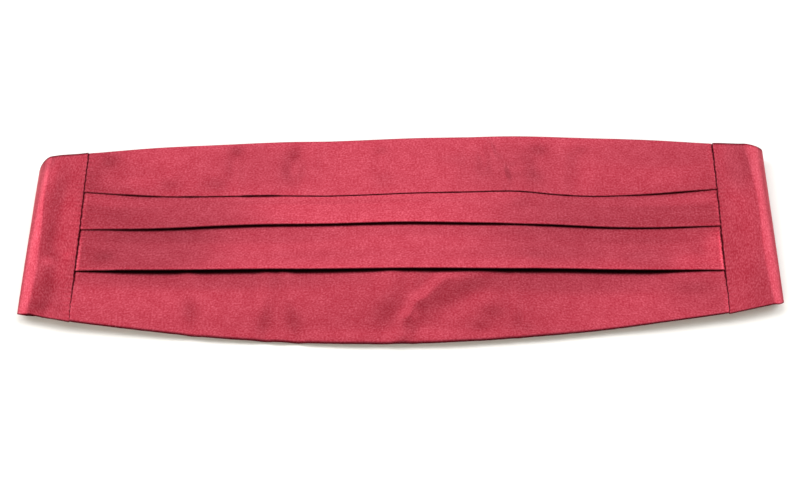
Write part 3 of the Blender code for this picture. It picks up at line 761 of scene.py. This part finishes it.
def make_strap(strap, look):
    """A ribbed strap: in x and z a line along the floor, half round a bar and back on itself,
    whose height ripples by a sine over its length. It is thinner at its two bound edges."""
    low = STRAP_WALL / 2
    radius = (STRAP_TURN_INSIDE + STRAP_WALL) / 2
    count = int(abs(strap.turn - strap.start) / STRAP_STEP)
    flat = np.linspace(strap.start, strap.turn, count)
    angle = np.linspace(0, math.pi, STRAP_TURN_STEPS + 1)[1:-1]
    back_x = strap.turn - strap.towards * np.linspace(0, TURN_BACK, int(TURN_BACK / STRAP_STEP))
    settled = smoothstep(0, TURN_BACK_SETTLES, np.abs(back_x - strap.turn))
    back_z = low + 2 * radius + (STRAP_WALL + STRAP_GAP - 2 * radius) * settled
    line_x = np.concatenate([flat, strap.turn + strap.towards * radius * np.sin(angle), back_x])
    line_z = np.concatenate([np.full(count, low), low + radius * (1 - np.cos(angle)), back_z])
    across = np.linspace(-0.5, 0.5, STRAP_ROWS + 1)[:, None]
    x = np.broadcast_to(line_x, (len(across), len(line_x)))
    z = np.broadcast_to(line_z, x.shape)
    length = np.concatenate([[0], np.cumsum(np.hypot(np.diff(line_x), np.diff(line_z)))])
    rib = RIB_DEPTH * (0.5 + 0.5 * np.cos(2 * math.pi * length / RIB))
    wall = STRAP_WALL * (1 - BOUND_EDGE_THINNER * smoothstep(*BOUND_EDGE, np.abs(across)))
    y = np.broadcast_to(across * STRAP_WIDTH, x.shape)
    grids = []
    for side in (1, -1):
        moved_x, moved_z = offset(x, z, side * (wall / 2 - rib))
        grids.append(np.stack([moved_x, y, moved_z], axis=-1))
    return cloth(f"strap_{strap.name}_webbing", *grids, look, turned=strap.towards < 0)


# The finishes
SATIN_COLOUR = (0.34, 0.033, 0.054)
SATIN_SPECKLE = (0.29, 0.095, 0.125)
SATIN_METAL = 0.33
FRONT_ROUGHNESS = 0.38
TAB_ROUGHNESS = 0.36
FRONT_BRIGHTNESS = 1.0
# Painted light: the tabs' satin is made a little lighter than the front's for how their flats catch the
# light
TAB_PAINTED_BRIGHTNESS = 1.02
SATIN_FINISH = {
    "Specular Tint": (1, 0.25, 0.35, 1),
    "Sheen Weight": 0.06,
    "Sheen Roughness": 0.4,
    "Sheen Tint": (1, 0.2, 0.3, 1),
}
SATIN_WEAVE = {"Speckle": 1.05, "Streaks": 0.4, "Patches": 0.35}
SATIN_THREADS = {"Distance": 0.00002, "Strength": 0.5}
PAINTED_FOLD_SHADE = 0.82            # painted shade: how much darker the colour is made deep inside a fold
LIGHT_SPOTS = 0.8            # how much more the weave's light spots count than its dark ones
ELASTIC_COLOUR = (0.26, 0.028, 0.045)
ELASTIC_WEAVE = {"Speckle": 0.9, "Streaks": 0.5}
ELASTIC_THREADS = {"Distance": 0.00006, "Strength": 0.8}
ELASTIC_ROUGHNESS = 0.8
# Painted shade: the elastic's colour is darker in the rib troughs and lighter on the ribs
RIB_SHADE = -0.22
NICKEL_COLOUR = (0.62, 0.61, 0.58)
NICKEL_ROUGHNESS = 0.16
NICKEL_BRUSHING = 0.20
NICKEL_DULLEST = 0.85
NICKEL_WEAR = 0.25
PAPER_COLOUR = (0.94, 0.94, 0.94)
PAPER_ROUGHNESS = 0.9
PAPER_DARKEST = 0.99
PAPER_UNEVENNESS = 0.02

# How many cells a metre each pattern has, along X, Y and Z or along the cloth's two ways
CROSSING_CELLS = (900, 1050, 1)
WEFT_CELLS = (350, 2600, 1)
UNEVEN_CELLS = (130, 150, 1)
BRUSHED_CELLS = (400, 6000, 1500)
WORN_CELLS = (500, 500, 500)
PAPER_CELLS = (60, 60, 60)


def shader_of(name):
    """A new material with its Principled shader and node tree."""
    look = bpy.data.materials.new(name)
    look.use_nodes = True
    return look, look.node_tree, look.node_tree.nodes["Principled BSDF"]


def add_node(tree, kind, inputs=None, **settings):
    """A node with its settings made, and each named input given a value or linked from a socket."""
    node = tree.nodes.new(kind)
    for setting, value in settings.items():
        setattr(node, setting, value)
    for name, value in (inputs or {}).items():
        if isinstance(value, bpy.types.NodeSocket):
            tree.links.new(value, node.inputs[name])
        else:
            node.inputs[name].default_value = value
    return node


def noise(tree, place, scale, detail=2.0):
    """Noise from 0 to 1 over a place stretched by the scale, which is in cells a metre."""
    stretched = add_node(tree, "ShaderNodeVectorMath", {0: place, 1: scale}, operation="MULTIPLY")
    inputs = {"Vector": stretched.outputs[0], "Scale": 1.0, "Detail": detail}
    return add_node(tree, "ShaderNodeTexNoise", inputs).outputs["Fac"]


def calculate(tree, operation, *values):
    """The result of one sum on numbers or sockets."""
    return add_node(tree, "ShaderNodeMath", dict(enumerate(values)), operation=operation).outputs[0]


def new_group(name, inputs, outputs):
    """An empty shader node group and the nodes that carry its named inputs and outputs."""
    group = bpy.data.node_groups.new(name, "ShaderNodeTree")
    for socket, (kind, value) in inputs.items():
        made = group.interface.new_socket(socket, in_out="INPUT", socket_type=kind)
        if value is not None:
            made.default_value = value
    for socket in outputs:
        group.interface.new_socket(socket, in_out="OUTPUT", socket_type="NodeSocketFloat")
    return group, group.nodes.new("NodeGroupInput"), group.nodes.new("NodeGroupOutput")


def weave_group():
    """Uneven cloth: how light it is round 1, and how its threads stand up. Speckle is the thread
    crossings, streaks follow the weft, and patches are where it lies unevenly."""
    group, given, result = new_group("weave", {
        "Cloth": ("NodeSocketVector", None),
        "Speckle": ("NodeSocketFloat", 0.1),
        "Streaks": ("NodeSocketFloat", 0.1),
        "Patches": ("NodeSocketFloat", 0.05),
    }, ("Shade", "Height"))
    place = given.outputs["Cloth"]
    speckle = noise(group, place, CROSSING_CELLS, 1)
    streaks = noise(group, place, WEFT_CELLS)
    patches = noise(group, place, UNEVEN_CELLS)
    shade = 1.0
    for value, amount in ((speckle, "Speckle"), (streaks, "Streaks"), (patches, "Patches")):
        centred = calculate(group, "SUBTRACT", value, 0.5)
        shade = calculate(group, "MULTIPLY_ADD", centred, given.outputs[amount], shade)
    group.links.new(shade, result.inputs["Shade"])
    group.links.new(calculate(group, "ADD", speckle, streaks), result.inputs["Height"])
    return group


def woven_cloth(tree, weave, place, amounts, threads):
    """The weave's shade over a cloth, and the normals that its raised threads give."""
    woven = add_node(tree, "ShaderNodeGroup", node_tree=weave)
    for name, amount in amounts.items():
        woven.inputs[name].default_value = amount
    tree.links.new(place, woven.inputs["Cloth"])
    bump = add_node(tree, "ShaderNodeBump", {"Height": woven.outputs["Height"], **threads})
    return woven.outputs["Shade"], bump.outputs[0]


def speckled(tree, colour, pale, shade):
    """A colour plus a paler one's share of how far the shade is from 1, light spots more than dark."""
    change = calculate(tree, "SUBTRACT", shade, 1.0)
    weight = calculate(tree, "MULTIPLY_ADD", change, LIGHT_SPOTS, 1.0)
    change = calculate(tree, "MULTIPLY", change, weight)
    in_each = add_node(tree, "ShaderNodeCombineXYZ", {0: change, 1: change, 2: change}).outputs[0]
    inputs = {0: pale, 1: in_each, 2: colour}
    return add_node(tree, "ShaderNodeVectorMath", inputs, operation="MULTIPLY_ADD").outputs[0]


def tinted(tree, colour, shade):
    """A colour with each channel multiplied by the shade."""
    inputs = {0: colour, "Scale": shade}
    return add_node(tree, "ShaderNodeVectorMath", inputs, operation="SCALE").outputs[0]


def satin_look(weave, name, roughness, brightness):
    """Dark rose satin, its sheen tinted. Its colour carries painted shade, darkened and turned fully
    metallic inside its folds, seams and edges, and painted light and shade from its patches and
    highlights.
    """
    look, tree, shader = shader_of(name)
    place = add_node(tree, "ShaderNodeUVMap", uv_map="cloth").outputs["UV"]
    shade, normal = woven_cloth(tree, weave, place, SATIN_WEAVE, SATIN_THREADS)
    inside = add_node(tree, "ShaderNodeAttribute", attribute_name="inside").outputs["Fac"]
    tone = add_node(tree, "ShaderNodeAttribute", attribute_name="tone").outputs["Fac"]
    # Painted shade deep in folds, seams and edges, then the painted light and shade of patches and
    # highlights
    light = calculate(tree, "MULTIPLY_ADD", inside, -PAINTED_FOLD_SHADE * brightness, brightness)
    light = calculate(tree, "MULTIPLY", light, calculate(tree, "ADD", tone, 1.0))
    colour = speckled(tree, SATIN_COLOUR, SATIN_SPECKLE, shade)
    # The metal goes up with the painted shade, so the darkened colour loses its plain gloss as well
    metal = calculate(tree, "MULTIPLY_ADD", inside, 1 - SATIN_METAL, SATIN_METAL)
    tree.links.new(tinted(tree, colour, light), shader.inputs["Base Color"])
    tree.links.new(metal, shader.inputs["Metallic"])
    tree.links.new(normal, shader.inputs["Normal"])
    shader.inputs["Roughness"].default_value = roughness
    for socket, value in SATIN_FINISH.items():
        shader.inputs[socket].default_value = value
    return look


def webbing_look(weave):
    """Matt ribbed elastic in a darker shade of the satin, with painted shade in its rib troughs."""
    look, tree, shader = shader_of("ribbed elastic")
    place = add_node(tree, "ShaderNodeUVMap", uv_map="cloth").outputs["UV"]
    shade, normal = woven_cloth(tree, weave, place, ELASTIC_WEAVE, ELASTIC_THREADS)
    along = add_node(tree, "ShaderNodeSeparateXYZ", {0: place}).outputs["Y"]
    rib = calculate(tree, "COSINE", calculate(tree, "MULTIPLY", along, 2 * math.pi / RIB))
    # Painted shade in the rib troughs and painted light on the ribs
    shade = calculate(tree, "MULTIPLY_ADD", rib, RIB_SHADE, shade)
    tree.links.new(tinted(tree, ELASTIC_COLOUR, shade), shader.inputs["Base Color"])
    tree.links.new(normal, shader.inputs["Normal"])
    shader.inputs["Roughness"].default_value = ELASTIC_ROUGHNESS
    return look


def nickel_look():
    """Nickel plate, faintly brushed."""
    look, tree, shader = shader_of("nickel plate")
    place = add_node(tree, "ShaderNodeTexCoord").outputs["Object"]
    brushed = noise(tree, place, BRUSHED_CELLS, 3)
    worn = noise(tree, place, WORN_CELLS, 2)
    roughness = calculate(tree, "MULTIPLY_ADD", brushed, NICKEL_BRUSHING, NICKEL_ROUGHNESS)
    shade = calculate(tree, "MULTIPLY_ADD", worn, NICKEL_WEAR, NICKEL_DULLEST)
    tree.links.new(roughness, shader.inputs["Roughness"])
    tree.links.new(tinted(tree, NICKEL_COLOUR, shade), shader.inputs["Base Color"])
    shader.inputs["Metallic"].default_value = 1.0
    return look


def paper_look():
    """White paper, very slightly uneven."""
    look, tree, shader = shader_of("white paper")
    place = add_node(tree, "ShaderNodeTexCoord").outputs["Object"]
    uneven = noise(tree, place, PAPER_CELLS, 3)
    shade = calculate(tree, "MULTIPLY_ADD", uneven, PAPER_UNEVENNESS, PAPER_DARKEST)
    tree.links.new(tinted(tree, PAPER_COLOUR, shade), shader.inputs["Base Color"])
    shader.inputs["Roughness"].default_value = PAPER_ROUGHNESS
    return look


# The camera, the lamps and the floor
CAMERA_TARGET = (0.0, -0.00405, 0.006)
CAMERA_DISTANCE = 0.8
CAMERA_ELEVATION = math.radians(62)
CAMERA_LENS = 64.62
CAMERA_SENSOR = 36.0
FLOOR_HALF = 4.0
FLOOR_LEVEL = -0.0002
STUDIO_COLOUR = (1, 0.95, 0.85, 1)
STUDIO_STRENGTH = 0.33

Lamp = namedtuple("Lamp", "name place size power colour")
LAMPS = (
    Lamp("key_softbox", (-0.05, 1.02, 1.36), (1.3, 0.8), 11.6, (1.0, 1.0, 1.0)),
    Lamp("left_softbox", (-1.36, 0.60, 0.95), (0.9, 1.5), 21.0, (1.0, 1.0, 1.0)),
    Lamp("right_softbox", (1.32, 0.60, 1.00), (0.9, 1.5), 18.5, (1.0, 1.0, 1.0)),
    Lamp("front_softbox", (-0.7, -1.20, 0.80), (2.0, 0.8), 13.0, (1.0, 0.93, 0.78)),
)


def make_camera():
    """The camera, at its distance from its target along a line that rises from the front."""
    camera = bpy.data.objects.new("camera", bpy.data.cameras.new("camera"))
    bpy.context.collection.objects.link(camera)
    camera.location = (
        CAMERA_TARGET[0],
        CAMERA_TARGET[1] - CAMERA_DISTANCE * math.cos(CAMERA_ELEVATION),
        CAMERA_TARGET[2] + CAMERA_DISTANCE * math.sin(CAMERA_ELEVATION),
    )
    camera.rotation_euler = (math.pi / 2 - CAMERA_ELEVATION, 0, 0)
    camera.data.lens = CAMERA_LENS
    camera.data.sensor_width = CAMERA_SENSOR
    camera.data.clip_start = 0.01
    bpy.context.scene.camera = camera


def make_lamps():
    """The softboxes, each turned towards the middle of the garment."""
    for lamp in LAMPS:
        data = bpy.data.lights.new(lamp.name, "AREA")
        data.shape = "RECTANGLE"
        data.size, data.size_y = lamp.size
        data.energy = lamp.power
        data.color = lamp.colour
        light = bpy.data.objects.new(lamp.name, data)
        bpy.context.collection.objects.link(light)
        light.location = lamp.place
        light.rotation_euler = (-Vector(lamp.place)).to_track_quat("-Z", "Y").to_euler()


def make_floor():
    """A square of paper under the garment."""
    corners = np.array([(-1, -1, 0), (1, -1, 0), (1, 1, 0), (-1, 1, 0)])
    points = corners * FLOOR_HALF + np.array([0, 0, FLOOR_LEVEL])
    floor = surface("floor", points, np.array([[0, 1, 2, 3]]), paper_look())


def make_world():
    """A faint warm light from all sides."""
    world = bpy.data.worlds.new("studio")
    world.use_nodes = True
    background = world.node_tree.nodes["Background"]
    background.inputs["Color"].default_value = STUDIO_COLOUR
    background.inputs["Strength"].default_value = STUDIO_STRENGTH
    bpy.context.scene.world = world


# What each sheet was cut to: its width and length, and its area where it isn't a rectangle
Cut = namedtuple("Cut", "flat area")


def replace(piece, node):
    """A piece of cloth stands for its solid and rides on the garment."""
    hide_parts(node)
    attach(piece, BODY)


def main():
    """Makes the five pieces of cloth, finishes the clasp, and sets up the floor, camera and lamps."""
    weave = weave_group()
    satin = satin_look(weave, "dark rose satin", FRONT_ROUGHNESS, FRONT_BRIGHTNESS)
    # The tabs' copy of the satin differs in roughness with the grain and is painted a little lighter
    across_grain = "dark rose satin across the grain"
    tab_satin = satin_look(weave, across_grain, TAB_ROUGHNESS, TAB_PAINTED_BRIGHTNESS)
    webbing = webbing_look(weave)
    nickel = nickel_look()
    replace(make_front(satin), "pleated_front")
    for tab in TABS:
        replace(make_tab(tab, tab_satin), f"tab_{tab.name}")
    for strap in STRAPS:
        replace(make_strap(strap, webbing), f"strap_{strap.name}")
    for node in ("eye", "hook"):
        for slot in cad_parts[node].material_slots:
            slot.material = nickel
    make_floor()
    make_camera()
    make_lamps()
    make_world()
    bpy.context.scene.view_settings.view_transform = "Standard"


main()
